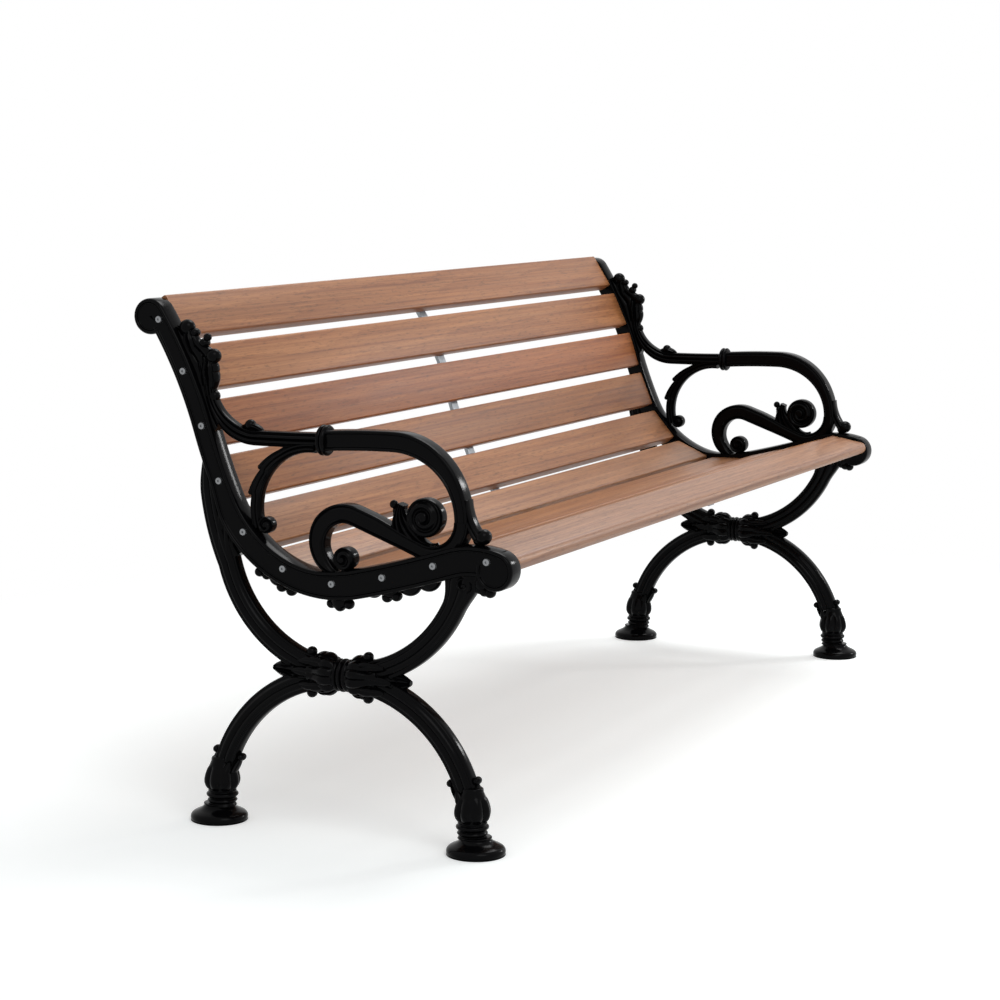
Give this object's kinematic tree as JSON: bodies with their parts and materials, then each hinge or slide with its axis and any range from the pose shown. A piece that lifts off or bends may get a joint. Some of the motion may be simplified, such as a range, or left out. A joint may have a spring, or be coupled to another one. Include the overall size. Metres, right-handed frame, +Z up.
{
  "type": "garden bench",
  "caption": "Garden bench with scrolled cast end frames, arms, and hardwood slats screwed along an S-curved seat and back, braced by a strap at the middle.",
  "frame": {"origin": "middle of the bench's footprint on the ground: half way between the two ends, and half way between the front of the seat rail's nose and the back of the top knob", "axes": "+X along the bench, to the sitter's left; +Y to the rear; +Z up"},
  "size_m": [1.7898, 0.6515, 0.8195],
  "materials": {
    "cast_iron": "gloss black paint",
    "hardwood": "oiled, satin",
    "galvanised_steel": "dull zinc"
  },
  "bodies": {
    "root": {"end_frame_left": "cast_iron", "end_frame_right": "cast_iron", "seat_slat_1": "hardwood", "seat_slat_2": "hardwood", "seat_slat_3": "hardwood", "seat_slat_4": "hardwood", "seat_slat_5": "hardwood", "back_slat_1": "hardwood", "back_slat_2": "hardwood", "back_slat_3": "hardwood", "back_slat_4": "hardwood", "back_slat_5": "hardwood", "centre_strap": "galvanised_steel", "strap_screws": "galvanised_steel", "end_screws_left": "galvanised_steel", "end_screws_right": "galvanised_steel", "slat_inserts_left": "galvanised_steel", "slat_inserts_right": "galvanised_steel"}
  },
  "joints": []
}
